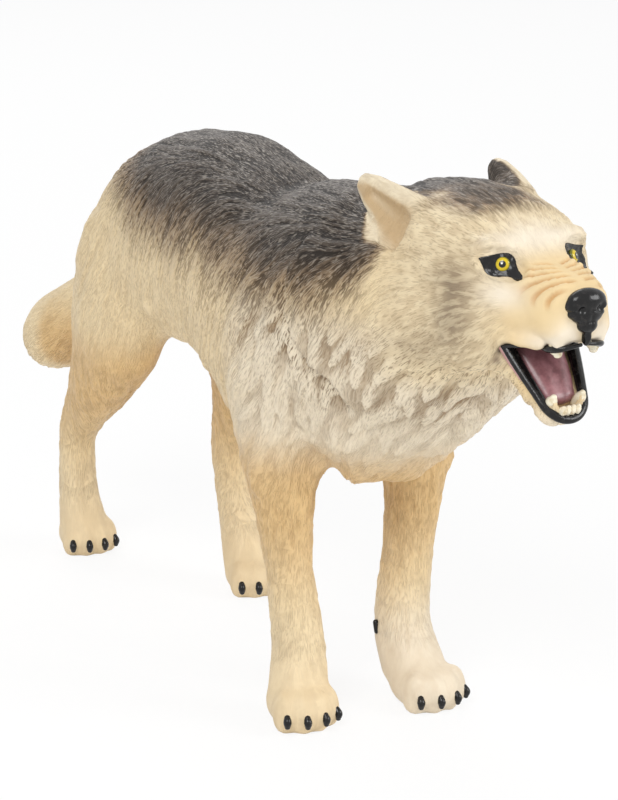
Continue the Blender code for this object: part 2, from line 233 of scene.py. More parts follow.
# frames of the head and the lower jaw, in millimetres
head = {"centre": (4.0, -38.6, 52.6), "turn": 4.0}  # turned to the wolf's left
jaw = {"hingeForwards": 7.4, "hingeUp": -2.4, "gape": 47.0}
headPlace = Matrix.Translation(head["centre"]) @ Matrix.Rotation(math.radians(head["turn"]), 4, "Z")
jawPlace = (headPlace @ Matrix.Translation((0, -jaw["hingeForwards"], jaw["hingeUp"]))
            @ Matrix.Rotation(math.radians(jaw["gape"]), 4, "X"))


def at(place, sideways, ahead, above):
    # a point given to the side, forwards and up in a frame, in millimetres of the whole wolf
    return place @ Vector((sideways, -ahead, above))


def seenFrom(place, points):
    # points as to the side, forwards and up in a frame
    inverse = np.array(place.inverted())
    local = points @ inverse[:3, :3].T + inverse[:3, 3]
    local[:, 1] *= -1
    return local


# eyes: a painted black almond with a yellow iris, a black pupil and one white speck, a painted reflection, under gloss
# varnish
eyes = {
    "middle": {-1: (4.65, 10.3, 4.4), 1: (3.8, 10.8, 4.35)},  # right and left: side, forwards, up on the head
    "stretch": {-1: (1.0, 1.12), 1: (1.12, 1.5)},  # the left one was painted larger
    "out": (0.60, 0.74, 0.30), "inwards": (0.53, 0.80, -0.27),
    "irisRadius": 0.78, "pupilRadius": 0.34, "bulge": 0.42,
    "iris": "#d8bd1c", "irisFleck": "#a98f16", "irisRing": "#5f6418", "pupil": "#120f0c", "paintedGlint": "#f4f1e4",
}
almond = [(-2.6, -0.35), (-2.3, -0.12), (-1.65, 0.25), (-0.75, 0.85), (0.15, 1.2), (0.9, 1.0),
          (1.35, 0.5), (1.8, 0.08), (2.25, -0.15), (2.6, -0.4), (2.5, -0.9), (1.95, -0.95), (1.35, -0.85), (0.75, -1.0),
          (-0.15, -1.35), (-0.9, -1.45), (-1.5, -1.2), (-2.05, -0.75), (-2.4, -0.5)]


def eyeTurn(left):
    # the eye's own directions: x towards the nose, y up, z out of the head
    turn = headPlace.to_3x3()
    out = (turn @ Vector((left * eyes["out"][0], -eyes["out"][1], eyes["out"][2]))).normalized()
    inwards = turn @ Vector((-left * eyes["inwards"][0], -eyes["inwards"][1], eyes["inwards"][2]))
    inwards = (inwards - out * inwards.dot(out)).normalized()
    above = out.cross(inwards) * (1 if out.cross(inwards).z > 0 else -1)
    return Matrix((inwards, above, out)).transposed().to_4x4()


def eyeMiddle(left):
    sideways, forwards, above = eyes["middle"][left]
    return at(headPlace, left * sideways, forwards, above)


# the skin: the solid resampled, sculpted, furred and thinned
skin = {
    "voxel": 0.25, "rounding": 3,  # how finely the solid is resampled, and how often it is smoothed
    "triangles": 198000,
    "seed": 11,
    "lockSpacing": 2.5, "lockWidth": 3.2, "lockLength": 6.0, "lockHeight": 0.32,  # locks of the ruff
    "strandSpacing": 4.0, "strandWidth": 0.28, "strandLength": 4.2,  # hair strands of the coat
    "shortWidth": 0.30, "shortLength": 1.1,  # short hair of the head and the legs
}
# hills and hollows pushed into the head: side (both sides if not 0), forwards, up; radii; height
headForms = [
    ((4.7, 10.8, 4.2), (2.2, 2.0, 1.5), -0.60),  # eye socket
    ((4.9, 9.5, 6.5), (2.4, 1.5, 0.8), 0.75),  # brow ridge
    ((2.5, 11.0, 6.2), (1.2, 1.5, 0.9), 0.40),  # inner brow, drawn down
    ((0.0, 9.0, 7.4), (0.9, 4.5, 2.0), -0.45),  # furrow of the forehead
    ((6.2, 9.8, 1.2), (1.8, 2.2, 1.1), 0.45),  # cheekbone
    ((4.4, 13.6, 0.2), (1.5, 1.8, 1.6), -0.30),  # hollow behind the lip
    ((3.2, 16.6, -1.4), (1.3, 1.8, 1.3), 0.35),  # lip pad over the canine
    ((0.0, 14.0, 4.6), (1.5, 2.0, 1.2), -0.25),  # dip of the bridge
    ((0.0, 19.2, 0.7), (2.6, 1.3, 2.2), -0.85),  # seat of the nose pad
    ((0.0, 18.6, 2.6), (2.0, 1.2, 0.9), -0.45),
    ((2.3, 17.5, -3.9), (1.1, 1.1, 1.0), -0.80),  # seat of the upper canine
]
# ears, as side, forwards and up on the head: middle line from base to tip, and the way the hollow faces
ears = {
    "base": (5.0, 0.4, 4.6), "tip": (8.3, -11.2, 9.6), "opening": (0.9, 0.4, -0.2),
    "along": (0.0, 0.29, 0.57, 0.86, 1.0),
    "axis": ((5.0, 6.3, 7.3, 8.0, 8.3), (0.4, -3.2, -6.6, -9.6, -11.2), (4.6, 5.9, 7.2, 8.7, 9.6)),
    "halfWidth": (3.6, 3.6, 3.1, 2.1, 1.0),
}
# clay put on before resampling: side (both sides), forwards, up; radii
clay = [
    ((4.3, 8.3, -4.3), (1.2, 1.7, 1.5)),  # closes the corner of the mouth
    ((3.9, 8.6, -5.6), (1.2, 1.3, 1.6)),
    ((3.85, 11.2, -3.2), (0.85, 3.0, 0.85)),  # lowers the lip behind the canine
    ((3.4, 13.7, -3.0), (0.8, 2.4, 0.8)),
]


def edgesOf(mesh):
    flat = np.empty(len(mesh.edges) * 2, np.int32)
    mesh.edges.foreach_get("vertices", flat)
    return flat.reshape(-1, 2)


def aroundEar(local):
    # how much a point belongs to an ear, how far it lies towards the open side, and how near the edge
    p = np.stack([np.abs(local[:, 0]), local[:, 1], local[:, 2]], 1)
    base, tip = np.array(ears["base"]), np.array(ears["tip"])
    length = np.linalg.norm(tip - base)
    lengthwise = (tip - base) / length
    opening = np.array(ears["opening"])
    opening = opening - lengthwise * (opening * lengthwise).sum()
    opening = opening / np.linalg.norm(opening)
    share = ((p - base) * lengthwise).sum(1) / length
    axis = np.stack([np.interp(share, ears["along"], row) for row in ears["axis"]], 1)
    halfWidth = np.interp(share, ears["along"], ears["halfWidth"])
    away = p - axis
    offset = (away * opening).sum(1)
    across = np.abs((away * np.cross(lengthwise, opening)).sum(1))
    inside = (smoothStep(0.20, 0.42, share) * smoothStep(1.25, 1.08, share)
              * smoothStep(halfWidth + 1.0, halfWidth + 0.2, across) * smoothStep(3.0, 2.4, np.abs(offset)))
    return inside, offset, across - halfWidth


def spread(values, edges, rounds, share=None):
    # evens values out between neighbours; share says how much at each point
    count = len(values)
    a, b = edges[:, 0], edges[:, 1]
    degree = np.bincount(a, minlength=count) + np.bincount(b, minlength=count) + 1
    for _ in range(rounds):
        total = values.copy()
        for column in range(values.shape[1]):
            total[:, column] += np.bincount(a, values[b, column], count)
            total[:, column] += np.bincount(b, values[a, column], count)
        total /= degree[:, None]
        values = total if share is None else values + (total - values) * share[:, None]
    return values


def furDirection(points, normals, local, edges):
    # which way the hair lies at each point: back and down the body, down the legs, back over the head
    x, y, z = points.T
    side, ahead, up = local.T
    zero = np.zeros_like(x)
    topness = smoothStep(0.25, 0.95, normals[:, 2])
    flow = np.stack([zero, 0.50 + 0.6 * topness, -0.88 * (1 - topness)], 1)
    chest = (smoothStep(-16, -30, y) * smoothStep(52, 38, z))[:, None]
    flow = flow * (1 - chest) + np.stack([np.sign(x - 2) * 0.3, zero + 0.3, zero - 1], 1) * chest
    legs = smoothStep(29, 22, z)[:, None]
    flow = flow * (1 - legs) + np.stack([zero, zero + 0.12, zero - 1], 1) * legs
    onHead = (smoothStep(-7, 1, ahead) * smoothStep(-13, -7, up))[:, None]
    overHead = np.stack([0.04 * side, zero + 1, 0.10 - 0.75 * smoothStep(5, -4, up)], 1)
    flow = flow * (1 - onHead) + overHead * onHead
    onTail = (smoothStep(37, 42, y) * smoothStep(20, 25, z))[:, None]
    flow = flow * (1 - onTail) + np.array([-0.25, 0.75, -0.6]) * onTail
    flow = spread(flow, edges, 14)
    flow -= normals * (flow * normals).sum(1)[:, None]
    return flow / (np.linalg.norm(flow, axis=1)[:, None] + 1e-9)


def pickSpots(points, spacing, seed):
    # spots scattered over the skin, no two closer than the spacing
    order = np.random.default_rng(seed).permutation(len(points))
    cells = {}
    kept = []
    for index in order:
        p = points[index]
        cell = tuple((p // spacing).astype(int))
        near = [q for dx in (-1, 0, 1) for dy in (-1, 0, 1) for dz in (-1, 0, 1)
                for q in cells.get((cell[0] + dx, cell[1] + dy, cell[2] + dz), ())]
        if all((p[0] - q[0]) ** 2 + (p[1] - q[1]) ** 2 + (p[2] - q[2]) ** 2 > spacing ** 2 for q in near):
            cells.setdefault(cell, []).append(p)
            kept.append(index)
    return points[kept]


def nearestSpots(points, spots, count):
    tree = KDTree(len(spots))
    for index, spot in enumerate(spots):
        tree.insert(spot, index)
    tree.balance()
    found = np.empty((len(points), count), np.int32)
    for row, point in enumerate(points):
        found[row] = [hit[1] for hit in tree.find_n(point, count)]
    return found


def combed(points, flow, normals, spots, nearest, width, length):
    # hair strands: noise drawn out along the flow, measured from each of the nearest spots and blended
    across = np.cross(normals, flow)
    total = np.zeros(len(points))
    weightSum = np.zeros(len(points))
    reach = np.linalg.norm(points - spots[nearest[:, -1]], axis=1)
    for column in range(nearest.shape[1] - 1):
        which = nearest[:, column]
        away = points - spots[which]
        weight = np.clip(1 - np.linalg.norm(away, axis=1) / reach, 0, 1) ** 2
        u = (away * across).sum(1) / width
        v = (away * flow).sum(1) / length
        total += weight * latticeNoise(u + which * 3.1, v, which * 7.7)
        weightSum += weight ** 2
    return total / np.sqrt(weightSum + 1e-6)


def locks(points, flow, normals, spots, nearest, width, length, seed):
    # overlapping pointed locks: each rises towards its tip and drops off sharply at its edge
    chance = np.random.default_rng(seed)
    lean = chance.uniform(-0.35, 0.35, len(spots))
    size = chance.uniform(0.7, 1.3, len(spots))
    across = np.cross(normals, flow)
    best = np.zeros(len(points))
    for column in range(nearest.shape[1]):
        which = nearest[:, column]
        away = points - spots[which]
        u = (away * across).sum(1)
        v = (away * flow).sum(1)
        u = u + lean[which] * v + 0.12 * v * v / length * np.sign(lean[which])
        t = np.clip(v / (length * size[which]) + 0.5, 0, 1)
        halfWidth = width * 0.5 * size[which] * np.sqrt(1 - t) * (0.6 + 0.6 * t)
        inside = np.clip(1 - (np.abs(u) / (halfWidth + 1e-6)) ** 2.2, 0, 1)
        rise = t * (0.55 + 0.45 * size[which]) * np.sqrt(inside)
        best = np.maximum(best, rise)
    return best


wolfSkin = bpy.data.objects.new("wolf_skin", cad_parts["wolf"].data.copy())
bpy.context.scene.collection.objects.link(wolfSkin)
bm = bmesh.new()
bm.from_mesh(wolfSkin.data)
for (sideways, ahead, up), radii in clay:
    for left in (-1, 1):
        shape = headPlace @ Matrix.Translation((left * sideways, -ahead, up)) @ Matrix.Diagonal((*radii, 1))
        bmesh.ops.create_icosphere(bm, subdivisions=3, radius=1, matrix=Matrix.Scale(mm, 4) @ shape)
bm.to_mesh(wolfSkin.data)
bm.free()
remeshed(wolfSkin, skin["voxel"], skin["rounding"])
mesh = wolfSkin.data
edges = edgesOf(mesh)
points = readVectors(mesh.vertices, "co") / mm
print("skin resampled:", len(points), "points")

# smooth the facets of the solid away, except where small forms are
local = seenFrom(headPlace, points)
side, ahead, up = local.T
sideways = np.abs(side)
z = points[:, 2]
faceShare = smoothStep(2.5, 6, ahead) * smoothStep(-14, -11, up)
earShare = aroundEar(local)[0]
pawShare = smoothStep(8, 6, z)
calm = (1 - faceShare) * (1 - earShare) * (1 - pawShare)
points = spread(points, edges, 22, calm)
eyeCalm = hill(np.abs(local), (5.0, 9.8, 4.4), (3.0, 3.0, 2.6))
points = spread(points, edges, 30, np.clip(eyeCalm * 1.4, 0, 1) * smoothStep(0, 2, ahead))

# sculpt the head, and the ledge where the ruff lies over the shoulder
setPoints(mesh, points)
normals = readVectors(mesh.vertex_normals, "vector")
local = seenFrom(headPlace, points)
mirrored = local.copy()
mirrored[:, 0] = np.abs(local[:, 0])
push = np.zeros(len(points))
for centre, radii, height in headForms:
    push += height * hill(mirrored, centre, radii)
wrinkleMask = (smoothStep(11.8, 13.2, ahead) * smoothStep(18.2, 17.0, ahead) * smoothStep(0.6, 1.8, up)
               * smoothStep(0.2, 0.9, sideways) * smoothStep(5.2, 3.8, sideways))
wrinkle = np.cos((ahead + 0.19 * sideways ** 2 + 0.3 * (up - 3)) * 2 * math.pi / 0.95)
wrinkle = 1 - 1.6 * smoothStep(0.0, -1.0, wrinkle)
push += 0.22 * wrinkleMask * (wrinkle - 0.4)
for left in (-1, 1):  # eyelids: a ridge round each almond, which lies a little sunk
    inverse = np.array((Matrix.Translation(eyeMiddle(left)) @ eyeTurn(left)).inverted())
    lid = points @ inverse[:3, :3].T + inverse[:3, 3]
    ring = np.sqrt((lid[:, 0] / 2.7) ** 2 + ((lid[:, 1] + 0.1) / 1.5) ** 2)
    near = smoothStep(2.5, 1.5, np.abs(lid[:, 2]))
    push += near * (0.26 * np.exp(-((ring - 1.16) / 0.13) ** 2) - 0.20 * smoothStep(1.05, 0.85, ring))
ledgeY = np.interp(z, (41.0, 44.0, 49.5, 54.0), (-31.5, -26.1, -23.8, -23.5))
ledgeY = ledgeY + 0.5 * latticeNoise(z / 1.7, z * 0 + 3, z * 0)
fromLedge = points[:, 1] - ledgeY
ledge = smoothStep(0.25, -0.25, fromLedge) * smoothStep(-8, -2, fromLedge)
push += (0.85 * ledge * smoothStep(38, 41, z) * smoothStep(57, 53, z)
         * smoothStep(0.3, 0.7, np.abs(normals[:, 0])))
points = points + normals * push[:, None]
setPoints(mesh, points)
normals = readVectors(mesh.vertex_normals, "vector")
print("head sculpted")

# where each kind of coat is, from 0 to 1
local = seenFrom(headPlace, points)
x, y, z = points.T
side, ahead, up = local.T
sideways = np.abs(side)
onHead = smoothStep(-5, 2, ahead) * smoothStep(-12, -8, up)
onMuzzle = smoothStep(9.5, 12.5, ahead) * smoothStep(-14, -11, up)
onPaw = smoothStep(8.5, 5.0, z)
onLeg = smoothStep(31, 25, z) * (1 - onPaw)
onRuff = (smoothStep(-8, -20, y) * smoothStep(26, 30, z) * smoothStep(51, 45, z)
          * (1 - smoothStep(1, 6, ahead) * smoothStep(-8, -5, up)))
onBack = smoothStep(28, 38, z) * (1 - onHead) * (1 - 0.7 * onRuff) * (1 - earShare)
cheekFur = onHead * (1 - onMuzzle) * smoothStep(5, 1, up) * smoothStep(10.5, 6, ahead)

flow = furDirection(points, normals, local, edges)
lockSpots = pickSpots(points, skin["lockSpacing"], 3)
lockNear = nearestSpots(points, lockSpots, 7)
lockHeight = locks(points, flow, normals, lockSpots, lockNear,
                   skin["lockWidth"], skin["lockLength"], skin["seed"])
strandSpots = pickSpots(points, skin["strandSpacing"], 5)
strandNear = nearestSpots(points, strandSpots, 4)
strand = combed(points, flow, normals, strandSpots, strandNear, skin["strandWidth"], skin["strandLength"])
shortHair = combed(points, flow, normals, strandSpots, strandNear, skin["shortWidth"], skin["shortLength"])
print("fur relief worked out:", len(lockSpots), "locks")

lumps = latticeNoise(x / 2.6, y / 2.6, z / 2.2) + 0.6 * latticeNoise(x / 1.3 + 5, y / 1.3, z / 1.1)
height = (skin["lockHeight"] * (onRuff + 0.4 * cheekFur) * (lockHeight - 0.45)
          + 0.20 * (onRuff + 0.4 * cheekFur) * lumps
          + 0.14 * (onBack + 0.7 * onRuff + 0.3 * cheekFur) * strand
          + 0.11 * (onLeg + 0.9 * onHead * (1 - onMuzzle)) * shortHair)
points = points + normals * height[:, None]
points[:, 2] = np.maximum(points[:, 2], 0)
setPoints(mesh, points)

# the painter's masks, kept as values on the skin's points
spray = latticeNoise(x / 6, y / 6, z / 6) * 1.6 + latticeNoise(x / 1.6, y / 1.6, z / 1.6) * 0.7
saddleZ = np.interp(y, (-36, -31, -26, 20, 30), (55.5, 51.5, 49.3, 50.0, 53.0))
face = np.maximum(smoothStep(-6, -3, ahead) * smoothStep(9.5, 7, up), smoothStep(-5, 2, ahead))
saddle = smoothStep(-8.5, 6.5, z - saddleZ + 0.6 * spray) * (1 - face)
crown = 0.9 * smoothStep(7.8, 10.0, up + 0.4 * spray) * smoothStep(8.8, 5.0, ahead + 0.5 * spray)
earFacing = 0.90 * normals[:, 0] * np.sign(side) - 0.38 * normals[:, 1] - 0.2 * normals[:, 2]
earShare, earOffset, earEdge = aroundEar(local)
earBack = earShare * smoothStep(0.4, 0.0, earFacing) * smoothStep(-0.1, -0.6, earOffset)
# painted shade: the ear's hollow, away from its edge, is coloured a darker tan
earHollowShade = earShare * smoothStep(0.2, 0.6, earOffset) * smoothStep(-0.7, -1.3, earEdge)
headPaint = {  # side (both sides), forwards, up on the head; radii; strength
    "cheek": [
        ((8.2, 6.6, 2.4), (2.4, 2.8, 2.4), 0.85), ((8.4, 6.8, -2.0), (2.6, 2.6, 2.8), 0.95),
        ((9.8, -1.4, 0.0), (3.0, 2.2, 4.5), 0.35), ((9.0, 1.8, -5.4), (3.5, 3.8, 2.0), 0.6),
    ],
    "pale": [  # brow, below the eye, forehead, upper lip, below the nose
        ((3.6, 10.6, 6.4), (3.2, 2.2, 1.3), 1.0), ((5.4, 11.6, 1.6), (2.4, 2.6, 1.6), 1.0),
        ((0, 9.6, 7.2), (2.4, 3.2, 1.6), 0.8), ((3.6, 16.8, -2.6), (2.6, 3.6, 1.0), 1.0),
        ((2.0, 18.4, -1.6), (1.4, 1.6, 1.8), 1.0),
    ],
}
cheek, pale = [sum(strength * hill(mirrored, centre, radii) for centre, radii, strength in headPaint[part])
               for part in ("cheek", "pale")]
lipLine = np.interp(ahead, (6.8, 9.6, 12.4, 15.6, 17.8), (6.0, 5.2, 4.0, 3.0, 2.3))
# the inside of the mouth: its downward faces get the mauve paint, darkened by painted shade of the mouth's hollow; the
# black inner edge of the lips uses it too
mouthInside = (smoothStep(0.1, -0.5, normals[:, 2]) * smoothStep(0.1, -0.7, sideways - lipLine)
               * smoothStep(6.6, 7.6, ahead) * smoothStep(18.2, 17.6, ahead)
               * smoothStep(-1.2, -2.2, up) * smoothStep(-6.5, -5.5, up))
# painted shade: a darker wash and more dark slits in the crease behind the ruff's ledge, under its overhang
behindLedgeShade = (smoothStep(-0.3, 0.3, fromLedge) * smoothStep(7, 1, fromLedge)
               * smoothStep(37, 40, z) * smoothStep(56, 52, z))
washPatch = latticeNoise(x / 5 + 9, y / 5, z / 5)
lipBlack = (mouthInside * smoothStep(-1.7, -1.2, sideways - lipLine) * smoothStep(-5.2, -4.6, up)
            + smoothStep(0.35, 0.6, hill(mirrored, (2.9, 16.5, -3.65), (1.0, 2.4, 0.5))))
# the wash: dark paint in the grooves, raised behind the ruff's ledge by painted shade
washAndShade = (0.18 + 0.50 * hill(points, (0, -10.0, 46.0), (40, 14.0, 7.0)) + 0.75 * behindLedgeShade
        + onRuff * (0.30 + 0.55 * washPatch) * smoothStep(33, 40, z))
masks = {
    "saddle": np.maximum(np.maximum(saddle, crown) * (1 - earShare), 0.9 * earBack),
    "strandShade": strand * 0.5 + 0.5,
    "shortShade": shortHair * 0.5 + 0.5,
    "lockShade": lockHeight * onRuff + (1 - onRuff) * 0.75,
    "legTan": smoothStep(10, 24, z) * smoothStep(35, 28, z) * smoothStep(52, 50, y),
    "pawPale": smoothStep(15, 6, z) * (0.15 + 0.85 * smoothStep(-1, 2, x) * smoothStep(0, -6, y)),
    "headCream": onHead,
    "muzzlePeach": onMuzzle,
    "cheekGrey": np.clip(cheek, 0, 1) * (1 - onMuzzle),
    "facePale": np.clip(pale, 0, 1) * onHead,
    "ruffPale": onRuff,
    "earTan": earShare * (1 - earBack),
    "earHollowShade": earHollowShade,
    "wrinkleShade": wrinkleMask * (1 - wrinkle) / 1.6,
    "mouthInside": mouthInside,
    "lipBlack": lipBlack,
    "underNose": hill(mirrored, (0, 19.0, 0.7), (1.6, 1.6, 1.5)) > 0.35,
    # the slits are denser behind the ruff's ledge: painted shade
    "slits": (0.22 * onBack + onRuff * (0.10 + 0.26 * smoothStep(33, 42, z)) + 0.45 * behindLedgeShade
              + 0.30 * onHead * (1 - onMuzzle) * (1 - pale) + 0.18 * onLeg) * (1 - onPaw),
    "washAndShade": washAndShade,
    "furred": 1 - np.maximum(np.maximum(onMuzzle, onPaw * 0.8), np.maximum(earShare * 0.5, onHead * 0.6)),
}
for name, value in masks.items():
    attribute = mesh.attributes.new(name, "FLOAT", "POINT")
    attribute.data.foreach_set("value", np.clip(value, 0, 1).astype(np.float32))
for name, value in {"furAlong": flow, "furAcross": np.cross(normals, flow)}.items():
    attribute = mesh.attributes.new(name, "FLOAT_VECTOR", "POINT")
    attribute.data.foreach_set("vector", value.astype(np.float32).ravel())
thinned = wolfSkin.vertex_groups.new(name="thinned")  # the face keeps every point
thinned.add([int(i) for i in np.nonzero(faceShare * smoothStep(11, 9, sideways) < 0.5)[0]], 1.0, "REPLACE")
thin = wolfSkin.modifiers.new("thin", "DECIMATE")
thin.vertex_group = "thinned"
thin.ratio = min(1, skin["triangles"] / sum(len(face.vertices) - 2 for face in mesh.polygons))
keepShape(wolfSkin)
print("skin thinned to", sum(len(face.vertices) - 2 for face in wolfSkin.data.polygons), "triangles")

# painted PVC: soft vinyl, pressure moulded, sprayed and washed with matt acrylic; the paint lies dark in the
# grooves and thin on the ridges, and the vinyl keeps a low satin gloss
coat = {
    "hairWidth": 0.14, "hairLength": 1.0, "cell": 2.6,  # the finest hair lines, too fine for the mesh
    "hairBump": 0.06,
    "groove": "#a98d68", "ridge": "#ebd5ac",
    # the saddle's pale line colour: dry-brushed hair tips, and partly a painted highlight of glints on the hair ridges
    "saddleGroove": "#1c1714", "saddleRidge": "#4a4139", "saddleLineAndGlint": "#a29a8e",
    "warmGroove": "#54432f", "warmRidge": "#93795c",
    "ruffGroove": "#93795a", "ruff": "#e9dbc2", "slit": "#7d6850",
    "legGroove": "#a97f49", "leg": "#dfba81", "paw": "#e9dcc5", "cream": "#ead8b4", "peach": "#e9cf9f",
    # the hollow colour is a darker tan: painted shade in the ear's hollow
    "peachGroove": "#d0a672", "hollow": "#c6ab84", "black": "#141211",
    # the mouth colour: the mauve inside the mouth, darkened by painted shade
    "cheek": "#85745f", "pale": "#f1e6d3", "earTan": "#efe1c4", "mouth": "#4d3233",
}
furMaterial, tree, shader = newMaterial("moulded_pvc_sprayed_and_washed", 0.5, 1.49)
shader.inputs["Specular IOR Level"].default_value = 0.28


def readValue(name):
    return addNode(tree, "ShaderNodeAttribute", {"attribute_name": name}).outputs["Fac"]


def readVector(name):
    return addNode(tree, "ShaderNodeAttribute", {"attribute_name": name}).outputs["Vector"]


def vectorMath(operation, first, second, output="Vector"):
    return addNode(tree, "ShaderNodeVectorMath", {"operation": operation}, i0=first, i1=second).outputs[output]


def maths(operation, first, second=0.0):
    return addNode(tree, "ShaderNodeMath", {"operation": operation}, i0=first, i1=second).outputs[0]


def mixed(factor, first, second):
    return addNode(tree, "ShaderNodeMix", {"data_type": "RGBA"}, i0=factor, i6=first, i7=second).outputs[2]


def mixedValue(factor, first, second):
    return addNode(tree, "ShaderNodeMix", i0=factor, i2=first, i3=second).outputs[0]


def ranged(value, low, high, newLow=0.0, newHigh=1.0):
    return addNode(tree, "ShaderNodeMapRange", {"interpolation_type": "SMOOTHSTEP"},
                   i0=value, i1=low, i2=high, i3=newLow, i4=newHigh).outputs[0]


along, across = readVector("furAlong"), readVector("furAcross")
spot = addNode(tree, "ShaderNodeTexCoord").outputs["Object"]


def hairLines(shift, width, length):
    # noise drawn out along the hair, measured from the middle of each cell of a Voronoi pattern
    scaled = vectorMath("MULTIPLY", spot, (1 / (coat["cell"] * mm),) * 3)
    scaled = vectorMath("ADD", scaled, (shift, shift * 0.7, shift * 1.3))
    cells = addNode(tree, "ShaderNodeTexVoronoi", Vector=scaled, Scale=1.0, Randomness=0.9)
    away = vectorMath("SUBTRACT", scaled, cells.outputs["Position"])
    u = maths("MULTIPLY", vectorMath("DOT_PRODUCT", away, across, "Value"), coat["cell"] / width)
    v = maths("MULTIPLY", vectorMath("DOT_PRODUCT", away, along, "Value"), coat["cell"] / length)
    own = addNode(tree, "ShaderNodeSeparateColor", Color=cells.outputs["Color"]).outputs[0]
    own = maths("MULTIPLY", own, 90.0)  # a part of the noise for each cell alone
    place = addNode(tree, "ShaderNodeCombineXYZ", X=u, Y=v, Z=own).outputs[0]
    lines = addNode(tree, "ShaderNodeTexNoise", Vector=place, Scale=1.0, Detail=1.0, Roughness=0.5)
    border = addNode(tree, "ShaderNodeTexVoronoi", {"feature": "DISTANCE_TO_EDGE"},
                     Vector=scaled, Scale=1.0, Randomness=0.9)
    return lines.outputs["Fac"], border.outputs["Distance"]


firstHair, firstBorder = hairLines(0.0, coat["hairWidth"], coat["hairLength"])
secondHair, _ = hairLines(17.3, coat["hairWidth"], coat["hairLength"])
rawHair = mixedValue(ranged(firstBorder, 0.02, 0.22), secondHair, firstHair)
hair = maths("MULTIPLY", ranged(rawHair, 0.36, 0.64), readValue("furred"))
slit = maths("MULTIPLY", ranged(rawHair, 0.36, 0.46, 1.0, 0.0), readValue("slits"))
# pale hair tips on the saddle: dry-brushed paint, and partly a painted highlight of glints on the hair ridges
paleHairAndGlint = ranged(rawHair, 0.55, 0.64)  # tips of the hair on the saddle, brushed pale
blotch = addNode(tree, "ShaderNodeTexNoise", Vector=spot, Scale=260.0, Detail=3.0, Roughness=0.6)
blotch = blotch.outputs["Fac"]
washAndShade = readValue("washAndShade")

strandTone = ranged(maths("ADD", readValue("strandShade"), maths("MULTIPLY", hair, 0.5)), 0.35, 1.0)
shortTone = ranged(maths("ADD", readValue("shortShade"), maths("MULTIPLY", hair, 0.35)), 0.25, 0.9)
lockTone = ranged(maths("ADD", readValue("lockShade"), maths("MULTIPLY", hair, 0.2)), 0.05, 0.65)


def washed(tone, groove, ridge, share):
    # thinned dark paint that has run into the grooves, more of it where share is high
    return mixed(maths("MULTIPLY", maths("SUBTRACT", 1.0, tone), share), ridge, groove)


# groove paint by the wash share, which also holds the painted shade behind the ruff's ledge
body = washed(strandTone, coat["groove"], coat["ridge"], washAndShade)
ruff = washed(lockTone, coat["ruffGroove"], coat["ruff"], washAndShade)
body = mixed(readValue("ruffPale"), body, ruff)
legColour = washed(shortTone, coat["legGroove"], coat["leg"], 0.45)
body = mixed(maths("MULTIPLY", readValue("legTan"), 0.85), body, legColour)
body = mixed(readValue("pawPale"), body, washed(shortTone, coat["legGroove"], coat["paw"], 0.12))
cream = washed(shortTone, coat["groove"], coat["cream"], 0.35)
cheekShare = maths("MULTIPLY", readValue("cheekGrey"), ranged(shortTone, 0.0, 1.0, 0.95, 0.6))
cream = mixed(cheekShare, cream, coat["cheek"])
peach = mixed(readValue("wrinkleShade"), coat["peach"], coat["peachGroove"])
cream = mixed(readValue("muzzlePeach"), cream, peach)
cream = mixed(maths("MULTIPLY", readValue("facePale"), 0.85), cream, coat["pale"])
body = mixed(readValue("headCream"), body, cream)
body = mixed(readValue("earTan"), body, washed(shortTone, coat["groove"], coat["earTan"], 0.3))
# painted shade: the ear's hollow in darker tan
body = mixed(readValue("earHollowShade"), body, coat["hollow"])
body = mixed(slit, body, coat["slit"])
body = mixed(ranged(blotch, 0.35, 0.75, 0.0, 0.14), body, coat["groove"])
saddleShade = readValue("saddle")
darkTone = mixedValue(readValue("headCream"), strandTone, shortTone)
dark = mixed(darkTone, coat["saddleGroove"], coat["saddleRidge"])
warm = mixed(darkTone, coat["warmGroove"], coat["warmRidge"])
dark = mixed(ranged(saddleShade, 0.55, 1.05), warm, dark)
# the saddle's pale lines: dry-brushed hair tips, and painted glints of light on the hair ridges
dark = mixed(maths("MULTIPLY", paleHairAndGlint, ranged(darkTone, 0.2, 0.9, 0.08, 0.42)), dark, coat["saddleLineAndGlint"])
body = mixed(ranged(maths("ADD", saddleShade, maths("MULTIPLY", strandTone, -0.15)), -0.05, 0.75), body, dark)
# painted shade: the roof and sides inside the mouth in dark mauve
body = mixed(readValue("mouthInside"), body, coat["mouth"])
body = mixed(maths("MAXIMUM", readValue("underNose"), readValue("lipBlack")), body, coat["black"])
tree.links.new(body, shader.inputs["Base Color"])
bumpNode = addNode(tree, "ShaderNodeBump", Strength=1.0, Distance=coat["hairBump"] * mm, Height=hair)
tree.links.new(bumpNode.outputs[0], shader.inputs["Normal"])
tree.links.new(ranged(strandTone, 0, 1, 0.60, 0.42), shader.inputs["Roughness"])
dress(wolfSkin, furMaterial)
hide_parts("wolf")
print("skin painted")

# what the small pieces are laid on
bm = bmesh.new()
bm.from_mesh(wolfSkin.data)
bm.transform(Matrix.Scale(1 / mm, 4))
skinTree = BVHTree.FromBMesh(bm)
bm.free()


def finePath(stations, steps=5):
    # a smooth curve through the stations, widths and all
    rows = np.array([tuple(station) for station in stations], float)
    fine = []
    for i in range(len(rows) - 1):
        p0, p1, p2, p3 = rows[max(i - 1, 0)], rows[i], rows[i + 1], rows[min(i + 2, len(rows) - 1)]
        for step in range(steps):
            t = step / steps
            fine.append(0.5 * (2 * p1 + (p2 - p0) * t + (2 * p0 - 5 * p1 + 4 * p2 - p3) * t * t
                               + (3 * p1 - p0 - 3 * p2 + p3) * t ** 3))
    return np.array(fine + [rows[-1]])


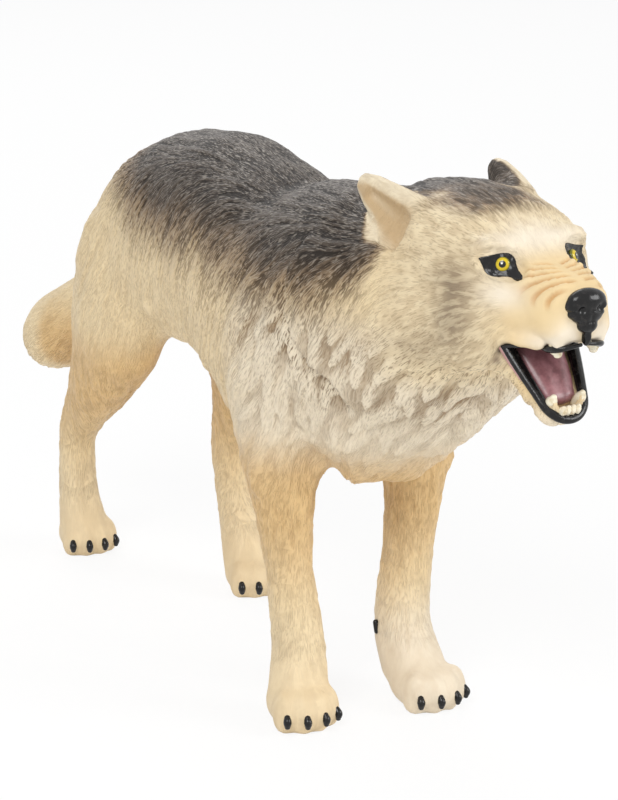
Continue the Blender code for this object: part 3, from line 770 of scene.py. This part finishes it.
def sweep(bm, stations, upward, sides=18, dent=0.0):
    # a closed, round-ended tube through (x, y, z, half width, half height), its height along upward
    fine = finePath(stations)
    centres = [Vector(row[:3]) for row in fine]
    rings = []
    for i, row in enumerate(fine):
        path = (centres[min(i + 1, len(fine) - 1)] - centres[max(i - 1, 0)]).normalized()
        rings.append((centres[i], path, max(row[3], 0.02), max(row[4], 0.02)))
    start, end = rings[0], rings[-1]
    turns = (75, 50, 25)
    first = [(start[0] - start[1] * start[3] * math.sin(math.radians(a)), start[1],
              start[2] * math.cos(math.radians(a)), start[3] * math.cos(math.radians(a))) for a in turns]
    last = [(end[0] + end[1] * end[3] * math.sin(math.radians(a)), end[1],
             end[2] * math.cos(math.radians(a)), end[3] * math.cos(math.radians(a))) for a in reversed(turns)]
    loops = []
    for centre, path, halfWidth, halfHeight in first + rings + last:
        across = path.cross(upward).normalized()
        over = across.cross(path)
        loop = []
        for i in range(sides):
            turn = 2 * math.pi * i / sides
            high = math.sin(turn)
            fall = dent * math.exp(-(math.cos(turn) / 0.35) ** 2) if high > 0 else 0
            loop.append(bm.verts.new((centre + across * halfWidth * math.cos(turn)
                                      + over * halfHeight * (high - fall)) * mm))
        loops.append(loop)
    for lower, upper in zip(loops, loops[1:]):
        for i in range(sides):
            following = (i + 1) % sides
            bm.faces.new((lower[i], lower[following], upper[following], upper[i]))
    bm.faces.new(loops[0])
    bm.faces.new(loops[-1])


def station(place, sideways, ahead, above, halfWidth, halfHeight):
    return (*at(place, sideways, ahead, above), halfWidth, halfHeight)


def hugged(bm, outline, turn, middle, dome, lift, depth):
    # a thin domed film on the skin: rings of the outline, each point dropped onto the skin
    place = Matrix.Translation(middle) @ turn
    out = turn.to_3x3() @ Vector((0, 0, 1))
    rim = finePath([(*p, 0) for p in outline + outline[:1]], 4)[:-1]
    layers = []
    for share in (0.0, 0.15, 0.3, 0.45, 0.6, 0.72, 0.83, 0.92, 1.0):
        layer = []
        for u, v, _ in (rim * share if share else rim[:1] * 0):
            start = place @ Vector((u, v, 4))
            hit, normal, _, _ = skinTree.ray_cast(start, -out)
            if hit is None or abs((hit - middle).dot(out)) > 2.5:
                hit = place @ Vector((u, v, 0))
            rise = lift + dome * (1 - share ** 2) if share < 1 else -depth
            layer.append(bm.verts.new((hit + out * rise) * mm))
        layers.append(layer)
    count = len(rim)
    for i in range(count):
        bm.faces.new((layers[0][0], layers[1][i], layers[1][(i + 1) % count]))
    for inner, outer in zip(layers[1:], layers[2:]):
        for i in range(count):
            bm.faces.new((inner[i], outer[i], outer[(i + 1) % count], inner[(i + 1) % count]))
    back = [bm.verts.new(vertex.co - out * depth * 2 * mm) for vertex in layers[-1]]
    for i in range(count):
        bm.faces.new((layers[-1][i], back[i], back[(i + 1) % count], layers[-1][(i + 1) % count]))
    bm.faces.new(back)


# black enamel: brushed by hand and left glossy, so it shows brush ripples and sharp lamp highlights
gloss = {"colour": "#0f0e0e", "worn": "#2a2725", "rippleSize": 0.5, "ripple": 0.03}
blackMaterial, tree, shader = newMaterial("black_gloss_enamel_brushed", 0.16, 1.5)
shader.inputs["Specular IOR Level"].default_value = 0.36
ripple = addNode(tree, "ShaderNodeTexNoise", Vector=addNode(tree, "ShaderNodeTexCoord").outputs["Object"],
                 Scale=1 / (gloss["rippleSize"] * mm), Detail=2.0, Roughness=0.5).outputs["Fac"]
tree.links.new(mixed(ranged(ripple, 0.5, 0.8), gloss["colour"], gloss["worn"]), shader.inputs["Base Color"])
bumpNode = addNode(tree, "ShaderNodeBump", Strength=1.0, Distance=gloss["ripple"] * mm, Height=ripple)
tree.links.new(bumpNode.outputs[0], shader.inputs["Normal"])
tree.links.new(ranged(ripple, 0.3, 0.7, 0.12, 0.26), shader.inputs["Roughness"])

# iris enamel: yellow with a green-brown ring, brushed round by hand and varnished, so it looks wet
irisMaterial, tree, shader = newMaterial("iris_enamel_varnished", 0.10, 1.5)
eyeSpot = addNode(tree, "ShaderNodeSeparateXYZ", Vector=addNode(tree, "ShaderNodeTexCoord").outputs["Object"])
flatSpot = addNode(tree, "ShaderNodeCombineXYZ", X=eyeSpot.outputs[0], Y=eyeSpot.outputs[1]).outputs[0]
fromMiddle = vectorMath("LENGTH", flatSpot, (0, 0, 0), "Value")
fromMiddle = maths("MULTIPLY", fromMiddle, 1 / mm)
rays = addNode(tree, "ShaderNodeTexNoise", Vector=flatSpot, Scale=4200.0, Detail=2.0).outputs["Fac"]
unevenRim = maths("ADD", fromMiddle, maths("MULTIPLY", rays, 0.10))
irisColour = mixed(ranged(unevenRim, 0.62, 0.80), eyes["iris"], eyes["irisRing"])
irisColour = mixed(ranged(rays, 0.4, 0.75, 0.0, 0.35), irisColour, eyes["irisFleck"])
pupilShare = ranged(fromMiddle, eyes["pupilRadius"], eyes["pupilRadius"] + 0.05)
irisColour = mixed(pupilShare, eyes["pupil"], irisColour)
# a white dot beside the pupil: a painted reflection
fromGlint = vectorMath("SUBTRACT", flatSpot, (-0.08 * mm, 0.05 * mm, 0))
fromGlint = vectorMath("LENGTH", fromGlint, (0, 0, 0), "Value")
irisColour = mixed(ranged(maths("MULTIPLY", fromGlint, 1 / mm), 0.07, 0.13), eyes["paintedGlint"], irisColour)
tree.links.new(irisColour, shader.inputs["Base Color"])

for left, name in ((-1, "right"), (1, "left")):
    turn = eyeTurn(left)
    out = turn.to_3x3() @ Vector((0, 0, 1))
    middle = skinTree.ray_cast(eyeMiddle(left) + out * 5, -out)[0]
    bm = bmesh.new()
    wider, taller = eyes["stretch"][left]
    hugged(bm, [(u * wider, v * taller) for u, v in almond], turn, middle, 0.25, 0.05, 0.15)
    addPiece("eye_rim_" + name, bm, blackMaterial)
    bm = bmesh.new()
    radius = eyes["irisRadius"]
    bmesh.ops.create_uvsphere(bm, u_segments=40, v_segments=20, radius=1)
    bmesh.ops.scale(bm, vec=(radius * mm, radius * mm, eyes["bulge"] * mm), verts=bm.verts)
    eyeball = addPiece("iris_" + name, bm, irisMaterial)
    eyeball.parent = None
    eyeball.matrix_world = Matrix.Translation((middle + turn.to_3x3() @ Vector((0, 0, 0.22))) * mm) @ turn
    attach(eyeball, "root")
print("eyes")

# nose pad: sculpted in the mould, brushed black
nose = {
    "balls": [  # side, forwards, up; radii
        ((0, 18.45, 1.75), (2.25, 1.25, 1.35)), ((1.35, 18.15, 1.2), (1.05, 1.35, 1.25)),
        ((0, 18.5, 0.5), (1.85, 1.15, 1.15)), ((0, 18.6, -0.6), (1.15, 1.0, 0.9)),
        ((0, 18.55, -1.7), (0.42, 0.75, 1.15)),
    ],
    "voxel": 0.11,
}
nosePushes = [  # side, forwards, up; radii; height
    ((1.15, 19.3, 1.1), (0.42, 1.2, 0.36), -0.32), ((1.95, 18.7, 0.8), (0.6, 1.3, 0.26), -0.28),
    ((0.0, 19.8, 0.0), (0.2, 1.2, 1.3), -0.10),
]
bm = bmesh.new()
for (sideways0, ahead0, up0), radii in nose["balls"]:
    for left in ((-1, 1) if sideways0 else (1,)):
        shape = headPlace @ Matrix.Translation((left * sideways0, -ahead0, up0)) @ Matrix.Diagonal((*radii, 1))
        bmesh.ops.create_icosphere(bm, subdivisions=4, radius=1, matrix=Matrix.Scale(mm, 4) @ shape)
nosePad = addPiece("nose_pad", bm, blackMaterial)
remeshed(nosePad, nose["voxel"], 4)
nosePoints = readVectors(nosePad.data.vertices, "co") / mm
noseNormals = readVectors(nosePad.data.vertex_normals, "vector")
noseLocal = seenFrom(headPlace, nosePoints)
noseLocal[:, 0] = np.abs(noseLocal[:, 0])
for centre, radii, height in nosePushes:
    nosePoints += noseNormals * (height * hill(noseLocal, centre, radii))[:, None]
setPoints(nosePad.data, nosePoints)
dress(nosePad, blackMaterial)
print("nose")

# mouth: black lips with a thin mauve rim, tongue and blunt ivory teeth
# mauve paint: one thin satin coat over the vinyl, a little blotchy
mouth = {
    "tongue": "#a27074", "tongueDark": "#7c5154", "rim": "#bd918c", "rimDark": "#a87f7a",
    "tooth": "#efe5cc", "toothShade": "#cdb98f",
}
tongueMaterial, tree, shader = newMaterial("mauve_acrylic_satin", 0.30)
spot = addNode(tree, "ShaderNodeTexCoord").outputs["Object"]
mottle = addNode(tree, "ShaderNodeTexNoise", Vector=spot, Scale=900.0, Detail=3.0, Roughness=0.6).outputs["Fac"]
tree.links.new(mixed(ranged(mottle, 0.3, 0.7), mouth["tongueDark"], mouth["tongue"]), shader.inputs["Base Color"])
bumpNode = addNode(tree, "ShaderNodeBump", Strength=0.6, Distance=0.05 * mm, Height=mottle)
tree.links.new(bumpNode.outputs[0], shader.inputs["Normal"])
rimMaterial, tree, shader = newMaterial("pink_acrylic_satin", 0.35)
spot = addNode(tree, "ShaderNodeTexCoord").outputs["Object"]
mottle = addNode(tree, "ShaderNodeTexNoise", Vector=spot, Scale=700.0, Detail=2.0).outputs["Fac"]
tree.links.new(mixed(ranged(mottle, 0.3, 0.7), mouth["rimDark"], mouth["rim"]), shader.inputs["Base Color"])
# ivory paint: dabbed on thick, so the teeth are soft-edged and slightly yellow where it is thin
toothMaterial, tree, shader = newMaterial("ivory_enamel_dabbed", 0.25)
spot = addNode(tree, "ShaderNodeTexCoord").outputs["Object"]
mottle = addNode(tree, "ShaderNodeTexNoise", Vector=spot, Scale=1400.0, Detail=2.0).outputs["Fac"]
tree.links.new(mixed(ranged(mottle, 0.45, 0.8), mouth["tooth"], mouth["toothShade"]), shader.inputs["Base Color"])

upward = (jawPlace.to_3x3() @ Vector((0, 0, 1))).normalized()
headUp = (headPlace.to_3x3() @ Vector((0, 0, 1))).normalized()

bm = bmesh.new()
sweep(bm, [station(jawPlace, 0, a, h, w, t) for a, h, w, t in (
    (-3.0, 0.4, 2.5, 1.4), (0.0, 0.3, 2.8, 1.4), (4.0, 0.2, 2.75, 1.3), (7.2, 0.2, 2.4, 1.15), (9.4, 0.2, 1.9, 0.9))],
      upward, sides=28, dent=0.25)
addPiece("tongue", bm, tongueMaterial)

bm = bmesh.new()
lowerLip = [(0.6, 3.9, 1.3, 1.0, 0.9), (1.8, 3.95, 0.9, 0.95, 0.75), (3.6, 3.75, 0.75, 0.8, 0.6),
            (6.0, 3.35, 0.75, 0.68, 0.5), (8.8, 2.75, 0.7, 0.58, 0.45), (10.8, 2.2, 0.6, 0.55, 0.42), (11.9, 1.2, 0.5, 0.52, 0.42)]
path = [station(jawPlace, -s, a, h, w, t) for a, s, h, w, t in lowerLip]
path += [station(jawPlace, 0, 12.2, 0.45, 0.52, 0.42)]
path += [station(jawPlace, s, a, h, w, t) for a, s, h, w, t in reversed(lowerLip)]
sweep(bm, path, upward)
addPiece("lower_lip", bm, blackMaterial)

bm = bmesh.new()
for left in (-1, 1):
    sweep(bm, [station(headPlace, left * s, a, h, w, t) for a, s, h, w, t in (
        (9.0, 4.2, -4.5, 0.6, 0.7), (10.2, 4.15, -4.1, 0.42, 0.42), (12.4, 3.75, -3.75, 0.2, 0.2),
        (14.8, 3.1, -3.4, 0.18, 0.2), (16.2, 2.85, -3.3, 0.45, 0.4), (17.4, 2.45, -3.1, 0.5, 0.4), (18.2, 1.6, -2.85, 0.28, 0.26),
        (18.4, 0.5, -2.7, 0.18, 0.2))], headUp)
addPiece("upper_lip", bm, blackMaterial)

bm = bmesh.new()
for left in (-1, 1):
    sweep(bm, [station(jawPlace, left * s, a, h, w, t) for a, s, h, w, t in (
        (0.8, 4.75, 1.2, 0.2, 0.2), (2.2, 4.65, 0.75, 0.24, 0.24), (4.5, 4.25, 0.55, 0.22, 0.22),
        (7.0, 3.65, 0.5, 0.15, 0.15))], upward)
addPiece("lip_rim", bm, rimMaterial)

bm = bmesh.new()
for left in (-1, 1):
    sweep(bm, [station(headPlace, left * 2.2, 16.6, -2.7, 0.85, 0.75), station(headPlace, left * 2.2, 16.7, -3.4, 0.8, 0.66),
               station(headPlace, left * 2.15, 16.8, -3.8, 0.5, 0.42)], headPlace.to_3x3() @ Vector((0, -1, 0)))
    sweep(bm, [station(jawPlace, left * 1.75, 10.3, 0.2, 0.62, 0.62), station(jawPlace, left * 1.75, 10.3, 1.3, 0.58, 0.58),
               station(jawPlace, left * 1.75, 10.2, 1.8, 0.35, 0.35)], jawPlace.to_3x3() @ Vector((0, -1, 0)))
    for share in (0.3, 0.9):
        sweep(bm, [station(jawPlace, left * share, 11.5, 0.2, 0.36, 0.5), station(jawPlace, left * share, 11.5, 1.2, 0.34, 0.45),
                   station(jawPlace, left * share, 11.45, 1.5, 0.25, 0.3)], jawPlace.to_3x3() @ Vector((0, -1, 0)))
addPiece("teeth", bm, toothMaterial)
print("mouth")

# claws: short bars brushed black on the front of each toe
claws = {
    "paws": [  # middle of the sole, degrees the toes turn left, width, length, height
        ((-9.4, -22.0), 0.0, 7.6, 8.8, 5.4), ((6.0, -22.6), 10.0, 7.8, 9.0, 5.4),
        ((-7.3, 45.9), 0.0, 7.2, 8.0, 5.0), ((5.2, 21.4), 0.0, 7.2, 8.0, 5.0),
    ],
    "toes": [(-0.36, 0.19), (-0.13, 0.31), (0.13, 0.31), (0.36, 0.19)],
    "halfWidth": 0.46, "halfThickness": 0.45,
    "dewclaws": [((2.25, -17.9, 8.1), (-0.99, -0.1, 0.1))],  # on the inside of the wrist, and the way it faces
}
bm = bmesh.new()
for (px, py), turn, width, length, tall in claws["paws"]:
    paw = Matrix.Translation((px, py, 0)) @ Matrix.Rotation(math.radians(turn), 4, "Z")
    for acrossShare, aheadShare in claws["toes"]:
        middle = paw @ Vector((acrossShare * width * 1.1, -aheadShare * length - length * 0.17, tall * 0.3))
        out = (paw.to_3x3() @ Vector((acrossShare * 1.1, -1, 0.15))).normalized()
        top = middle + Vector((0, 0, 0.5)) + out * 0.05
        tip = middle - Vector((0, 0, 0.55)) + out * 0.30
        wide, thick = claws["halfWidth"], claws["halfThickness"]
        sweep(bm, [(*top, wide * 0.8, thick * 0.8), (*((top + tip) / 2 + out * 0.12), wide, thick * 1.1),
                   (*tip, wide * 0.7, thick * 0.6)], out)
for middle, out in claws["dewclaws"]:
    middle, out = Vector(middle), Vector(out)
    sweep(bm, [(*(middle + Vector((0, 0.1, 0.5))), 0.35, 0.35), (*(middle + Vector((0, -0.1, -0.5))), 0.25, 0.3)], out)
addPiece("claws", bm, blackMaterial)
print("claws")
